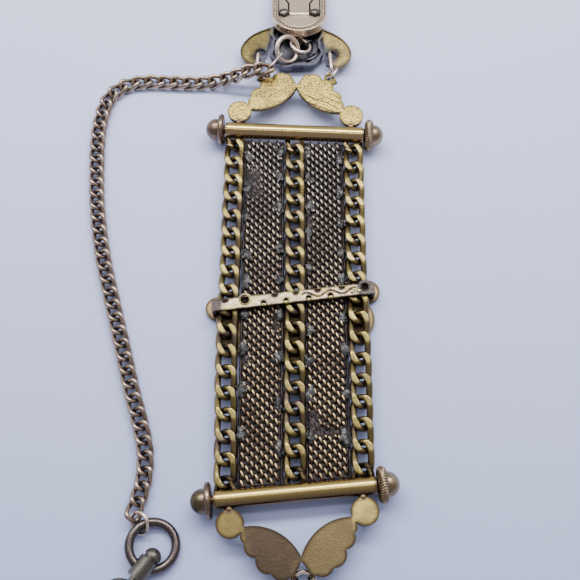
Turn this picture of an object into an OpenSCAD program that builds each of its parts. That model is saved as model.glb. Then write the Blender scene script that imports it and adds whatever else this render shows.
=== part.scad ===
// Watch fob of gilt brass, lying face down with its back up.
// The strap runs along Y, the clip is at +Y, and the surface that it lies on is z = 0.
// All pieces are drawn in the strap's own frame and then moved by place_x and place_y.

/* [Bars] */
// Place of the upper bar along the strap
upper_bar_y = 29.6; // [29:0.1:30.5]
// Place of the lower bar along the strap
lower_bar_y = -34.5; // [-35.5:0.1:-34]
// Lean of the upper bar in degrees
upper_bar_lean = -2.6; // [-4:0.1:0]
// Lean of the lower bar in degrees
lower_bar_lean = 5.2; // [3:0.1:6]
// Height of the bars' centre lines above the surface
bar_z = 2.85; // [2.85:0.05:3]
// Outer diameter of the tubes
tube_d = 2.8; // [2.6:0.1:3]
// Length of the tubes
tube_len = 24.8; // [24.4:0.1:25]
// Diameter of the bore in each end of a tube
bore_d = 1.2; // [1:0.05:1.3]
// Depth of the bores
bore_depth = 3; // [2:0.5:4]

/* [Finials] */
// Diameter of the balls
ball_d = 3.9; // [3.6:0.1:4.2]
// Distance from the bar's middle to the centre of a ball
ball_x = 14.1; // [14:0.1:14.3]
// Diameter of the collars
collar_d = 5.7; // [5.2:0.1:5.7]
// Thickness of the plain collars
plain_collar_t = 1; // [0.9:0.1:1.2]
// Thickness of the rope collars
rope_collar_t = 1.3; // [1.2:0.1:1.5]
// Number of strands round a rope collar
rope_strands = 36; // [24:2:44]
// Depth of the grooves between the strands
rope_groove = 0.22; // [0.1:0.02:0.3]

/* [Winged plates] */
// Height of the plates' flat backs
wing_back_z = 3.5; // [3.4:0.1:3.7]
// Thickness of the plates
wing_t = 0.8; // [0.6:0.1:1]
// Height of the feather relief on the front
wing_relief = 0.7; // [0.4:0.1:0.9]
// Radius of the round discs that are soldered to the tube
disc_r = 2.15; // [2:0.05:2.3]
// Distance of the discs' centres from the plate's middle
disc_u = 10.2; // [10:0.1:10.4]
// Distance of the discs' centres from the bar's centre line
disc_v = 3.75; // [3.6:0.05:3.8]
// Radius of the bored ears of the upper wings
ear_r = 0.95; // [0.9:0.05:1]
// Radius of the bores in the ears
ear_bore_r = 0.58; // [0.5:0.01:0.6]

/* [Strap] */
// Place across the strap of the left chain
left_chain_x = -10.75; // [-10.8:0.05:-10.7]
// Place across the strap of the middle chain
middle_chain_x = 0.05; // [-0.1:0.05:0.15]
// Place across the strap of the right chain
right_chain_x = 10.5; // [10.4:0.05:10.6]
// Height of the strap's middle
strap_z = 2.05; // [2:0.05:2.1]
// Place across the strap of the left mesh band
left_mesh_x = -5.6; // [-5.7:0.05:-5.5]
// Place across the strap of the right mesh band
right_mesh_x = 5.2; // [5.1:0.05:5.3]
// Width of the mesh bands
mesh_w = 6.4; // [6:0.1:6.4]
// Thickness of the mesh bands
mesh_t = 1.3; // [1:0.1:1.4]

/* [Strap chains] */
// Length of chain that each link adds, before the links are spread evenly
link_pitch = 3.5; // [3.45:0.05:3.55]
// Outer width of a link
link_w = 3.7; // [3.6:0.05:3.75]
// Thickness of a link's wire
link_wire = 1.05; // [1:0.05:1.05]
// Twist of a link, as the rise of its corners for each square millimetre
link_twist = 0.36; // [0.36:0.01:0.4]
// Half the thickness to which the links are filed flat
link_flat = 0.85; // [0.8:0.05:0.9]

/* [Slide] */
// Place of the slide along the strap
slide_y = -2.6; // [-4:0.1:0]
// Lean of the slide in degrees
slide_lean = 6.9; // [6:0.1:7.5]
// Half the length of the back strip
strip_half = 13.6; // [13.55:0.05:13.7]
// Width of the back strip
strip_w = 2; // [1.8:0.1:2.2]
// Thickness of the slide's metal
slide_t = 0.45; // [0.4:0.05:0.5]
// Height of the underside of the back strip
strip_z = 3.05; // [3.05:0.05:3.15]
// Top of the front plate, which runs under the strap
front_top = 0.95; // [0.85:0.05:0.95]

/* [Ornament] */
// Height of the ornament's rim, which faces up
ornament_z = 2.4; // [2.3:0.05:2.5]
// Place of the ornament across the strap
ornament_x = 0.35; // [0.3:0.05:0.5]
// Height of the floor of its hollow
hollow_z = 0.9; // [0.7:0.1:1]
// Width of its rim
rim_w = 0.5; // [0.4:0.05:0.6]
// Thickness of the two lobes
lobe_t = 0.8; // [0.7:0.1:0.8]
// Radius of the holes in the lobes
lobe_bore_r = 1; // [0.95:0.05:1.1]

/* [Clip] */
// Width of the clip plate
clip_w = 10.5; // [10:0.1:10.8]
// Length of the clip plate
clip_len = 20; // [19:0.5:21]
// Thickness of the clip plate
clip_t = 1.6; // [1.5:0.05:1.7]
// Place across the strap of the clip's middle
clip_x = 0.98; // [0.9:0.02:1.1]
// Place along the strap of the clip's lower end
clip_y = 50.2; // [50.1:0.05:50.3]
// Height of the underside of the clip's lower end
clip_z = 3.6; // [3.6:0.05:3.7]
// Place of the hinge, measured from the clip's lower end
hinge_y = 5.4; // [5.2:0.1:5.6]
// Radius of the hinge pin
pin_r = 0.27; // [0.25:0.01:0.28]
// Play between the pin and the tongue's barrel
pin_play = 0.05; // [0.03:0.01:0.06]

/* [Safety chain] */
// Length of chain that each small link adds
small_pitch = 2.38; // [2.34:0.01:2.42]
// Outer width of a small link
small_w = 2.7; // [2.6:0.05:2.75]
// Thickness of a small link's wire
small_wire = 0.66; // [0.6:0.02:0.66]
// Twist of a small link
small_twist = 0.5; // [0.5:0.01:0.54]

/* [Swivel] */
// Radius of the swivel ring, to the middle of its wire
swivel_r = 3.5; // [3.4:0.05:3.6]
// Radius of the swivel ring's wire
swivel_wire_r = 0.7; // [0.65:0.05:0.72]

/* [Hidden] */
$fn = 48;

// Where the strap's own origin lies in the whole object's frame
place_x = 10.63;
place_y = -7.11;

// Shared clearances
gap = 0.1;
fuse = 0.2;
link_play = 0.15;

// Colours, as the photo shows them
pale_brass = [0.78, 0.71, 0.46];
yellow_brass = [0.66, 0.55, 0.31];
dark_brass = [0.36, 0.28, 0.17];
rose_brown = [0.50, 0.40, 0.34];
beige_gold = [0.72, 0.62, 0.48];
grey_steel = [0.36, 0.35, 0.34];

// Values that follow from the dimensions
tube_r = tube_d / 2;
half_tube = tube_len / 2;
bore_r = bore_d / 2;
spigot_r = bore_r - 0.05;
spigot_len = 2;
collar_r = collar_d / 2;
ball_r = ball_d / 2;
loop_cut = 0.7;
collar_x = half_tube + 0.35;
strip_hole_r = 0.42;
strip_top = strip_z + slide_t;

// Sweep of a wire round a closed line

function unit(v) = v / norm(v);
function corner(a, m) = sign(cos(a)) * pow(abs(cos(a)), m);
function smooth(a, b, c, d, t) =
    0.5 * ((2 * b) + (c - a) * t + (2 * a - 5 * b + 4 * c - d) * t * t
    + (3 * b - a - 3 * c + d) * t * t * t);

// Middle line of a curb link: an oval whose opposite corners are lifted by its twist
function link_line(half_w, half_l, twist, steps, squareness) = [
    for (i = [0 : steps - 1])
    let (
        a = 360 * (i + 0.5) / steps,
        x = half_w * corner(a, squareness),
        y = half_l * corner(a - 90, squareness)
    )
    [x, y, twist * x * y]
];

// Ring of points round one place of the line, limited to the filed thickness
function wire_ring(line, i, r, sides, flat, turned) =
    let (
        n = len(line),
        along = unit(line[(i + 1) % n] - line[(i + n - 1) % n]),
        out = unit(cross(along, [0, 0, 1])),
        up = cross(out, along)
    )
    [
        for (k = [0 : sides - 1])
        let (
            a = 360 * (k + turned) / sides,
            p = line[i] + r * cos(a) * out + r * sin(a) * up
        )
        [p[0], p[1], max(-flat, min(flat, p[2]))]
    ];

module closed_wire(line, r, sides, flat, turned) {
    n = len(line);
    points = [for (i = [0 : n - 1]) each wire_ring(line, i, r, sides, flat, turned)];
    faces = [
        for (i = [0 : n - 1], k = [0 : sides - 1])
        let (
            a = i * sides + k,
            b = i * sides + (k + 1) % sides,
            c = ((i + 1) % n) * sides + (k + 1) % sides,
            d = ((i + 1) % n) * sides + k
        )
        each [[a, b, c], [a, c, d]]
    ];
    polyhedron(points, faces);
}

module curb_link(pitch) {
    half_w = (link_w - link_wire) / 2;
    half_l = (pitch + link_wire) / 2 + link_play;
    closed_wire(link_line(half_w, half_l, link_twist, 12, 0.8), link_wire / 2, 6, link_flat, 0.5);
}

module small_link(pitch) {
    half_w = (small_w - small_wire) / 2;
    half_l = (pitch + small_wire) / 2 + link_play;
    closed_wire(link_line(half_w, half_l, small_twist, 10, 0.7), small_wire / 2, 5, small_w, 0);
}

// Plain rings

module ring(r, wire_r) {
    rotate_extrude() translate([r, 0]) circle(wire_r);
}

// Oval ring in the XY plane, with its long way along Y
module oval_ring(half_len, half_w, wire_r) {
    straight = half_len - half_w;
    for (side = [-1, 1]) {
        translate([side * half_w, 0, 0]) rotate([90, 0, 0])
            cylinder(h = 2 * straight, r = wire_r, center = true);
        translate([0, side * straight, 0]) rotate([0, 0, side * 90 - 90])
            rotate_extrude(angle = 180) translate([half_w, 0]) circle(wire_r);
    }
}

// Moves a ring to its place and turns it about X, then Y, then Z
module lay(place, turn) {
    translate(place) rotate(turn) children();
}

// Bars, with everything that is soldered to them

module on_bar(y, lean) {
    translate([0, y, 0]) rotate([0, 0, lean]) children();
}

// Each chain: its place across the strap, the distance of its end loops from the bars' centre
// lines, and how far it bows sideways at equal steps from the lower bar to the upper one
chains = [
    [left_chain_x, 0.9, [0, -0.15, -0.4, -0.45, -0.25, -0.2, -0.1, 0]],
    [middle_chain_x, 1.4, [0, -0.1, -0.1, 0, 0, 0, 0, 0]],
    [right_chain_x, 0.9, [0, 0.1, 0.15, 0.1, -0.05, -0.05, 0.05, 0]]
];
function bar_y_at(y, lean, x) = y + x * tan(lean);
function chain_low(c) = bar_y_at(lower_bar_y, lower_bar_lean, c[0]) + c[1];
function chain_high(c) = bar_y_at(upper_bar_y, upper_bar_lean, c[0]) - c[1];
function link_count(c) = round((chain_high(c) - chain_low(c)) / link_pitch);
function link_step(c) = (chain_high(c) - chain_low(c)) / link_count(c);
function bow(c, t) = lookup(t * (len(c[2]) - 1), [for (i = [0 : len(c[2]) - 1]) [i, c[2][i]]]);

// Half link that stands out of a tube, towards the strap
module end_loop(c, y, lean, side) {
    axis_y = bar_y_at(y, lean, c[0]);
    intersection() {
        translate([c[0], axis_y + side * c[1], strap_z]) curb_link(link_step(c));
        translate([c[0], axis_y + side * (loop_cut + link_pitch), strap_z])
            cube([2 * link_w, 2 * link_pitch, 2 * link_w], center = true);
    }
}

module end_loops(y, lean, side) {
    for (c = chains) end_loop(c, y, lean, side);
}

// Outline of one wing, from the tip at the middle to the round disc
module wing_outline(shrink) {
    lobes = [[3.0, 10.75, 1.75], [4.9, 9.5, 1.9], [6.7, 7.3, 1.65], [7.9, 5.9, 0.9]];
    intersection() {
        union() {
            for (lobe = lobes) translate([lobe[0], lobe[1]]) circle(lobe[2] - shrink);
            polygon([
                [shrink, 10 - shrink], [1.5, 12.4 - 2 * shrink], [3, 11.5], [5, 10], [7, 8],
                [8.6 - shrink, 5.8], [8.5 - shrink, 4.4], [5.7, 4], [3, 4.5], [shrink, 8]
            ]);
        }
        translate([7.5, 12.4]) circle(8.1 - shrink);
    }
}

module winged_plate() {
    plate_z = wing_back_z - wing_t;
    tip_w = 0.9;
    for (side = [-1, 1]) scale([side, 1, 1]) {
        translate([0, 0, plate_z]) linear_extrude(wing_t) {
            wing_outline(0);
            translate([disc_u, disc_v]) circle(disc_r);
        }
        translate([0, 0, plate_z - wing_relief]) linear_extrude(wing_relief + fuse) {
            wing_outline(0.7);
            translate([disc_u, disc_v]) circle(disc_r - 0.5);
        }
        translate([disc_u, disc_v - disc_r, bar_z]) sphere(0.75);
    }
    translate([-tip_w / 2, 9.35, plate_z]) cube([tip_w, 0.75, wing_t]);
}

module wing_ears() {
    for (side = [-1, 1]) translate([side * ear_u, ear_v, ear_z - ear_t / 2]) {
        cylinder(h = ear_t, r = ear_r);
        rotate([0, 0, side * 25]) translate([-ear_r, -1.6, 0]) cube([2 * ear_r, 1.6, ear_t]);
    }
}

module tube_with_ends() {
    translate([0, 0, bar_z]) rotate([0, 90, 0]) cylinder(h = tube_len, r = tube_r, center = true);
}

module tube_bores() {
    for (side = [-1, 1]) translate([side * half_tube, 0, bar_z]) rotate([0, 90, 0])
        cylinder(h = 2 * bore_depth, r = bore_r, center = true);
}

// Ears of the upper wings, measured from the bar's middle
ear_u = 5.95;
ear_v = 12.05;
ear_t = 0.4;
ear_z = wing_back_z - wing_t + ear_t / 2;

module upper_bar() {
    color(pale_brass) difference() {
        union() {
            on_bar(upper_bar_y, upper_bar_lean) {
                tube_with_ends();
                winged_plate();
                wing_ears();
            }
            end_loops(upper_bar_y, upper_bar_lean, -1);
        }
        on_bar(upper_bar_y, upper_bar_lean) {
            tube_bores();
            for (side = [-1, 1]) translate([side * ear_u, ear_v, 0])
                cylinder(h = 2 * wing_back_z, r = ear_bore_r);
        }
    }
}

// Bottom ring, and the two bored lugs that hold it under the lower wings
bottom_ring_r = 1.75;
bottom_ring_wire = 0.38;
bottom_ring_v = 13.1;
bottom_ring_z = 1.5;
lug_way = 52;

module on_bottom_ring(side) {
    translate([0, bottom_ring_v, bottom_ring_z]) rotate([0, 0, side * lug_way - 90])
        translate([bottom_ring_r, 0, 0]) rotate([90, 0, 0]) children();
}

module ring_lugs() {
    for (side = [-1, 1]) on_bottom_ring(side) translate([0, 0, -0.25]) {
        cylinder(h = 0.5, r = 0.85);
        translate([-0.5, 0, 0]) cube([1.35, wing_back_z - bottom_ring_z - 0.3, 0.5]);
    }
}

module ring_lug_bores() {
    for (side = [-1, 1]) on_bottom_ring(side) cylinder(h = 1, r = 0.52, center = true);
}

module lower_bar() {
    color(yellow_brass) difference() {
        union() {
            on_bar(lower_bar_y, lower_bar_lean) {
                tube_with_ends();
                mirror([0, 1, 0]) {
                    winged_plate();
                    ring_lugs();
                }
            }
            end_loops(lower_bar_y, lower_bar_lean, 1);
        }
        on_bar(lower_bar_y, lower_bar_lean) {
            tube_bores();
            mirror([0, 1, 0]) ring_lug_bores();
        }
    }
}

module bottom_ring() {
    color(rose_brown) on_bar(lower_bar_y, lower_bar_lean)
        translate([0, -bottom_ring_v, bottom_ring_z]) ring(bottom_ring_r, bottom_ring_wire);
}

// Finials, drawn for the right end of a bar

module finial_core(collar_t) {
    ball_from = collar_x + collar_t - fuse;
    rotate([0, 90, 0]) {
        translate([0, 0, half_tube - spigot_len]) cylinder(h = spigot_len + 1, r = spigot_r);
        translate([0, 0, half_tube + 0.05]) cylinder(h = collar_x - half_tube, r = tube_r / 2);
    }
    intersection() {
        translate([ball_x, 0, 0]) sphere(ball_r);
        translate([ball_from, 0, 0]) rotate([0, 90, 0]) cylinder(h = ball_d, r = ball_d);
    }
}

module plain_finial() {
    edge_r = plain_collar_t / 2;
    finial_core(plain_collar_t);
    rotate([0, 90, 0]) rotate_extrude() {
        translate([0, collar_x]) square([collar_r - edge_r, plain_collar_t]);
        translate([collar_r - edge_r, collar_x + edge_r]) circle(edge_r);
    }
}

module rope_finial() {
    edge = 0.3;
    steps = 2 * rope_strands;
    rope = [
        for (i = [0 : steps - 1])
        (collar_r - (i % 2) * rope_groove) * [cos(360 * i / steps), sin(360 * i / steps)]
    ];
    finial_core(rope_collar_t);
    translate([collar_x, 0, 0]) rotate([0, 90, 0]) {
        cylinder(h = rope_collar_t, r = collar_r - edge - 0.1);
        translate([0, 0, edge]) linear_extrude(rope_collar_t - 2 * edge) polygon(rope);
    }
}

module finial_at(y, lean, side) {
    on_bar(y, lean) translate([0, 0, bar_z]) scale([side, 1, 1]) children();
}

module upper_left_finial() {
    color(rose_brown) finial_at(upper_bar_y, upper_bar_lean, -1) plain_finial();
}

module upper_right_finial() {
    color(yellow_brass) finial_at(upper_bar_y, upper_bar_lean, 1) rope_finial();
}

module lower_left_finial() {
    color(rose_brown) finial_at(lower_bar_y, lower_bar_lean, -1) plain_finial();
}

module lower_right_finial() {
    color(yellow_brass) finial_at(lower_bar_y, lower_bar_lean, 1) rope_finial();
}

// Strap: curb chains and mesh bands

module strap_chain(c) {
    count = link_count(c);
    step = link_step(c);
    color(yellow_brass) for (k = [1 : count - 1])
        let (
            lean = bow(c, (k + 0.5) / count) - bow(c, (k - 0.5) / count),
            place = [c[0] + bow(c, k / count), chain_low(c) + k * step, strap_z]
        )
        translate(place) rotate([0, 0, -atan2(lean, step)]) curb_link(step);
}

module left_chain() {
    strap_chain(chains[0]);
}

module middle_chain() {
    strap_chain(chains[1]);
}

module right_chain() {
    strap_chain(chains[2]);
}

// Woven band, with lumps of solder along its edges
solder_r = 0.5;
solder_step = 7.1;
solder_count = 8;

module mesh_band(x, first) {
    end_gap = tube_r + gap;
    edges = [x - mesh_w / 2, x + mesh_w / 2];
    low = [for (e = edges) bar_y_at(lower_bar_y, lower_bar_lean, e) + end_gap];
    high = [for (e = edges) bar_y_at(upper_bar_y, upper_bar_lean, e) - end_gap];
    color(dark_brass) {
        translate([0, 0, strap_z - mesh_t / 2]) linear_extrude(mesh_t) polygon([
            [edges[0], low[0]], [edges[1], low[1]], [edges[1], high[1]], [edges[0], high[0]]
        ]);
        for (k = [0 : solder_count - 1], side = [0, 1])
            translate([
                edges[side] + (1 - 2 * side) * 0.35,
                first + (k + side / 2) * solder_step,
                strap_z + mesh_t / 2 - solder_r + 0.1
            ]) sphere(solder_r);
    }
}

module left_mesh() {
    mesh_band(left_mesh_x, -31);
}

module right_mesh() {
    mesh_band(right_mesh_x, -29);
}

// Slide: a pierced strip behind the strap and a plate in front of it

slide_mid_x = -0.25;

module on_slide() {
    translate([slide_mid_x, slide_y, 0]) rotate([0, 0, slide_lean]) children();
}

module slide_strip() {
    upper_bites = [-11.3, -3.0, 0.5, 4.2, 8.25];
    lower_holes = [-5.0, -1.3, 2.5, 6.15];
    tab_h = strip_top - front_top - gap;
    big_hole = [-8.05, 0.4, 0.7];
    end_hole = [12.05, 0.35, 0.55];
    color(beige_gold) on_slide() difference() {
        union() {
            translate([-strip_half, -strip_w / 2, strip_z]) cube([2 * strip_half, strip_w, slide_t]);
            translate([end_hole[0], end_hole[1], strip_z]) cylinder(h = slide_t, r = 1.2);
            translate([big_hole[0], big_hole[1], strip_z]) cylinder(h = slide_t, r = 1.15);
            for (side = [-1, 1]) translate([side * (strip_half - slide_t / 2), 0, strip_top - tab_h / 2])
                cube([slide_t, strip_w, tab_h], center = true);
        }
        for (u = upper_bites) translate([u, strip_w / 2 - 0.15, strip_z - 1])
            cylinder(h = 3, r = strip_hole_r);
        for (u = lower_holes) translate([u, -strip_w / 2 + strip_hole_r + 0.1, strip_z - 1])
            cylinder(h = 3, r = strip_hole_r);
        for (hole = [big_hole, end_hole]) translate([hole[0], hole[1], strip_z - 1])
            cylinder(h = 3, r = hole[2]);
    }
}

module slide_front() {
    relief_z = 0.45;
    rim = 0.8;
    color(yellow_brass) on_slide() {
        translate([0, 0, relief_z]) linear_extrude(front_top - relief_z) slide_face(0);
        linear_extrude(relief_z + fuse) difference() {
            slide_face(0.25);
            slide_face(rim);
        }
        linear_extrude(relief_z + fuse) {
            translate([0, -4.2]) circle(2.6);
            for (side = [-1, 1], k = [1 : 3]) translate([side * (1.9 + 2.6 * k), -3.6 + 0.35 * k])
                circle(1.15 - 0.12 * k);
        }
    }
}

module slide_face(shrink) {
    lobes = [[12.75, 0.4, 2.05], [9.6, -4.2, 3.6], [4.9, -6.0, 3.7]];
    translate([-12.7 + shrink, -4]) square([25.4 - 2 * shrink, 5.2 - shrink]);
    translate([-7, -6]) square([14, 4]);
    for (side = [-1, 1], lobe = lobes) translate([side * lobe[0], lobe[1]]) circle(lobe[2] - shrink);
    translate([0, -6.8]) circle(3.9 - shrink);
}

// Ornament: a stamped shell that is open at the back, drawn about its own middle

ornament_lean = -2.5;
ornament_y = 48.6;
lobe_bore = [6.65, -1.2];

module on_ornament() {
    translate([ornament_x, ornament_y, 0]) rotate([0, 0, ornament_lean]) children();
}

// Outline of one lobe, from its upper end to its lower one
lobe_points = [
    [3.2, 5.2], [4.6, 4.95], [5.8, 4.45], [7.2, 3.75], [8.5, 2.85], [9.55, 1.7], [10.3, 0.35],
    [10.55, -1.0], [10.2, -2.3], [9.3, -3.35], [8.2, -3.85], [7.0, -3.7], [5.2, -3.2], [3.2, -2.8]
];
function lobe_line(steps) = [
    for (i = [1 : len(lobe_points) - 3], j = [0 : steps - 1])
    [for (axis = [0, 1]) smooth(lobe_points[i - 1][axis], lobe_points[i][axis],
        lobe_points[i + 1][axis], lobe_points[i + 2][axis], j / steps)]
];

module lobe_face(shrink) {
    middle = [6.9, 0.3];
    size = 1 - shrink / 4;
    for (side = [-1, 1]) polygon([
        for (p = lobe_line(3)) [side * (middle[0] + (p[0] - middle[0]) * size), middle[1] + (p[1] - middle[1]) * size]
    ]);
}

module ornament_body(shrink) {
    bulges = [
        [0, 0.8, 4.7], [-1.8, -1.9, 2.5], [2.3, -1.5, 2.4], [-3.1, -1.2, 1.8], [3.4, -0.6, 1.8],
        [-2.4, 3.6, 2.6], [2.4, 3.6, 2.6]
    ];
    for (b = bulges) translate([b[0], b[1]]) circle(b[2] - shrink);
}

// Eye that the clip ring passes through, standing on the floor of the hollow
eye_place = [2.65, 49.7, 2.2];
eye_turn = 42;
eye_r = 0.8;
eye_wire = 0.2;

module ornament_eye() {
    translate(eye_place) rotate([0, 0, eye_turn]) rotate([90, 0, 0]) {
        rotate_extrude(angle = 180) translate([eye_r, 0]) circle(eye_wire);
        for (foot = [-eye_r, eye_r]) translate([foot, 0, 0]) rotate([90, 0, 0])
            cylinder(h = eye_place[2] - hollow_z + 0.1, r = eye_wire);
    }
}

module ornament() {
    lobe_z = ornament_z - lobe_t;
    dish = 0.2;
    color(pale_brass) {
        on_ornament() difference() {
            union() {
                linear_extrude(ornament_z) ornament_body(1);
                translate([0, 0, 0.7]) linear_extrude(ornament_z - 0.7) ornament_body(0.45);
                translate([0, 0, 1.4]) linear_extrude(ornament_z - 1.4) ornament_body(0);
                translate([0, 0, lobe_z]) linear_extrude(lobe_t) lobe_face(0);
            }
            translate([0, 0, hollow_z]) linear_extrude(ornament_z) ornament_body(1.5);
            translate([0, 0, 1.5]) linear_extrude(ornament_z) ornament_body(rim_w);
            translate([0, 0, ornament_z - dish]) linear_extrude(ornament_z) difference() {
                lobe_face(0.35);
                ornament_body(-0.3);
            }
            for (side = [-1, 1]) translate([side * lobe_bore[0], lobe_bore[1], 0])
                cylinder(h = 2 * ornament_z, r = lobe_bore_r);
        }
        ornament_eye();
    }
}

// Rings between the lobes and the wings

plate_ring_half = [2.2, 0.95];
plate_ring_wire = 0.28;
wing_ring_r = 1.5;
wing_ring_wire = 0.2;

module plate_ring(place, turn) {
    color(rose_brown) lay(place, turn) rotate([0, 90, 0])
        oval_ring(plate_ring_half[0], plate_ring_half[1], plate_ring_wire);
}

module left_plate_ring() {
    plate_ring([-6.93, 45.29, 1.89], [3.4, 1.8, -4.2]);
}

module right_plate_ring() {
    plate_ring([6.89, 45.44, 1.97], [1.1, -4.4, 4.6]);
}

module wing_ring(place, turn) {
    color(rose_brown) lay(place, turn) ring(wing_ring_r, wing_ring_wire);
}

module left_wing_ring() {
    wing_ring([-6.41, 42.78, 2.54], [-42.3, -40.4, -66.2]);
}

module right_wing_ring() {
    wing_ring([6.87, 42.68, 2.58], [-33.1, -45.4, 16.7]);
}

// Rings between the clip, the ornament and the safety chain

module clip_ring() {
    color(rose_brown) lay([1.23, 48.9, 2.83], [-6.3, 17.4, 10.8]) ring(1.75, 0.34);
}

module chain_ring() {
    color(rose_brown) lay([-1.25, 47.37, 3.67], [42.9, 16.2, 29.8]) ring(2.3, 0.36);
}

module small_ring() {
    color(rose_brown) lay([-3.63, 44.38, 4.0], [-18.7, -63.2, -15.1]) oval_ring(2.3, 1.2, 0.22);
}

// Clip, drawn flat with its lower end at y = 0 and its underside at z = 0

clip_tilt = asin((clip_z - 0.05) / clip_len);
clip_r = clip_w / 2;
panel_in = 1.2;
panel_z = clip_t - 0.3;
pocket_z = 0.5;
barrel_r = 0.5;
barrel_z = 1.12;
barrel_half = 1.85;
tongue_t = 0.65;
tongue_play = 0.15;

module on_clip() {
    translate([clip_x, clip_y, clip_z]) rotate([-clip_tilt, 0, 0]) children();
}

module clip_outline(shrink) {
    translate([0, clip_r]) circle(clip_r - shrink);
    translate([0, clip_len - clip_r]) circle(clip_r - shrink);
    translate([-clip_r + shrink, clip_r]) square([clip_w - 2 * shrink, clip_len - clip_w]);
}

// Bottle shape of the tongue: a neck at the hinge, shoulders and a rounded top
module tongue_outline(grow) {
    neck = 1.95 + grow;
    belly = 2.55 + grow;
    top_y = 15.6;
    translate([-neck, hinge_y]) square([2 * neck, 3]);
    translate([0, 9.9]) circle(belly);
    translate([-belly, 9.9]) square([2 * belly, top_y - 9.9 - 2.55]);
    translate([0, top_y - 2.55]) circle(belly);
}

// Lug under the clip's lower end, bored for the clip ring
lug_y = 0.65;
lug_z = -1.0;
lug_x = 0.3;
lug_t = 0.5;
lug_r = 0.95;
lug_bore_r = 0.62;

module clip_plate() {
    knob_x = 3.05;
    knob_r = 0.62;
    color(beige_gold) on_clip() difference() {
        union() {
            difference() {
                linear_extrude(clip_t) clip_outline(0);
                translate([0, 0, panel_z]) linear_extrude(clip_t) clip_outline(panel_in);
                translate([0, 0, clip_t - 0.12]) linear_extrude(clip_t) difference() {
                    clip_outline(0.35);
                    clip_outline(panel_in - 0.25);
                }
                translate([0, 0, pocket_z]) linear_extrude(clip_t) tongue_outline(tongue_play);
                translate([0, hinge_y, clip_t / 2 + pocket_z])
                    cube([2 * barrel_half + 0.3, 2 * barrel_r + 0.3, clip_t], center = true);
            }
            for (side = [-1, 1]) translate([side * knob_x, hinge_y, barrel_z]) {
                sphere(knob_r);
                rotate([0, 90, 0]) cylinder(h = 1.9, r = 0.45, center = true);
            }
            translate([0, hinge_y, barrel_z]) rotate([0, 90, 0])
                cylinder(h = 2 * barrel_half + 1, r = pin_r, center = true);
            translate([lug_x - lug_t / 2, lug_y, 0]) {
                translate([0, -lug_r, lug_z]) cube([lug_t, 2 * lug_r, -lug_z + fuse]);
                translate([0, 0, lug_z]) rotate([0, 90, 0]) cylinder(h = lug_t, r = lug_r);
            }
        }
        translate([lug_x, lug_y, lug_z]) rotate([0, 90, 0])
            cylinder(h = 3 * lug_t, r = lug_bore_r, center = true);
    }
}

module clip_tongue() {
    color(beige_gold) on_clip() difference() {
        union() {
            translate([0, 0, panel_z - tongue_t]) linear_extrude(tongue_t) tongue_outline(0);
            translate([0, hinge_y, barrel_z]) rotate([0, 90, 0])
                cylinder(h = 2 * barrel_half, r = barrel_r, center = true);
        }
        translate([0, hinge_y - 1, clip_t / 2]) cube([2 * clip_r, 2 * (1 - barrel_r), 2 * clip_t], center = true);
        translate([0, hinge_y, barrel_z]) rotate([0, 90, 0])
            cylinder(h = 2 * barrel_half + 1, r = pin_r + pin_play, center = true);
        for (side = [-1, 1]) translate([side * (barrel_half + 1), hinge_y, barrel_z])
            cube([2, 2.2, 2.2], center = true);
    }
}

// Safety chain, laid along a line of points chosen by hand: from the small ring, over the left
// wing, round the left side and down to the swivel

chain_route = [
    [-2.9, 42.3, 4.62], [-4.3, 42.15, 4.7], [-5.8, 42.05, 4.75], [-7.4, 41.95, 4.62], [-9.0, 41.85, 4.1],
    [-10.6, 41.8, 3.2], [-12.2, 41.85, 2.3], [-13.9, 41.9, 1.52], [-15.8, 41.85, 1.06],
    [-18.2, 41.75, 0.88], [-22.5, 41.85, 0.84], [-27.6, 42.0, 0.84], [-31.5, 41.2, 0.84],
    [-34.6, 38.2, 0.84], [-35.9, 32.0, 0.84], [-35.7, 24.0, 0.84], [-34.8, 15.0, 0.84],
    [-33.1, 6.0, 0.84], [-30.8, -2.5, 0.84], [-28.5, -10.5, 0.84], [-26.4, -18.0, 0.84],
    [-24.8, -23.0, 0.84], [-23.7, -27.3, 0.84], [-23.45, -31.2, 0.86], [-24.0, -34.7, 1.0],
    [-24.85, -38.2, 1.58], [-25.4, -40.4, 2.0]
];

curve_steps = 8;
curve = [
    for (i = [1 : len(chain_route) - 3], j = [0 : curve_steps - 1])
    smooth(chain_route[i - 1], chain_route[i], chain_route[i + 1], chain_route[i + 2], j / curve_steps)
];
function run_to(i, sum) = i == 0 ? sum : run_to(i - 1, sum + norm(curve[i] - curve[i - 1]));
curve_run = [for (i = [0 : len(curve) - 1]) run_to(i, 0)];
function table(axis) = [for (i = [0 : len(curve) - 1]) [curve_run[i], curve[i][axis]]];
curve_x = table(0);
curve_y = table(1);
curve_z = table(2);
function at(s) = [lookup(s, curve_x), lookup(s, curve_y), lookup(s, curve_z)];

chain_length = curve_run[len(curve) - 1];
small_count = floor((chain_length - 2 * 1.2) / small_pitch);

module safety_chain() {
    step = (chain_length - 2 * 1.2) / small_count;
    color(rose_brown) for (k = [0 : small_count])
        let (
            s = 1.2 + k * step,
            way = at(s + step / 2) - at(s - step / 2),
            turn = atan2(way[1], way[0]),
            climb = atan2(way[2], norm([way[0], way[1]]))
        )
        translate(at(s)) rotate([0, -climb, turn]) rotate([0, 0, -90]) small_link(step);
}

// Swivel

swivel_place = [-21.5, -42.1, 1.2];
swivel_turn = [-8.2, 0, 285];
hook_way = 232;
hook_seat = 250;
hook_place = [
    swivel_place[0] + swivel_r * cos(hook_seat),
    swivel_place[1] + swivel_r * sin(hook_seat),
    1.55
];

module swivel_ring() {
    color(rose_brown) lay(swivel_place, swivel_turn) ring(swivel_r, swivel_wire_r);
}

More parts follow.
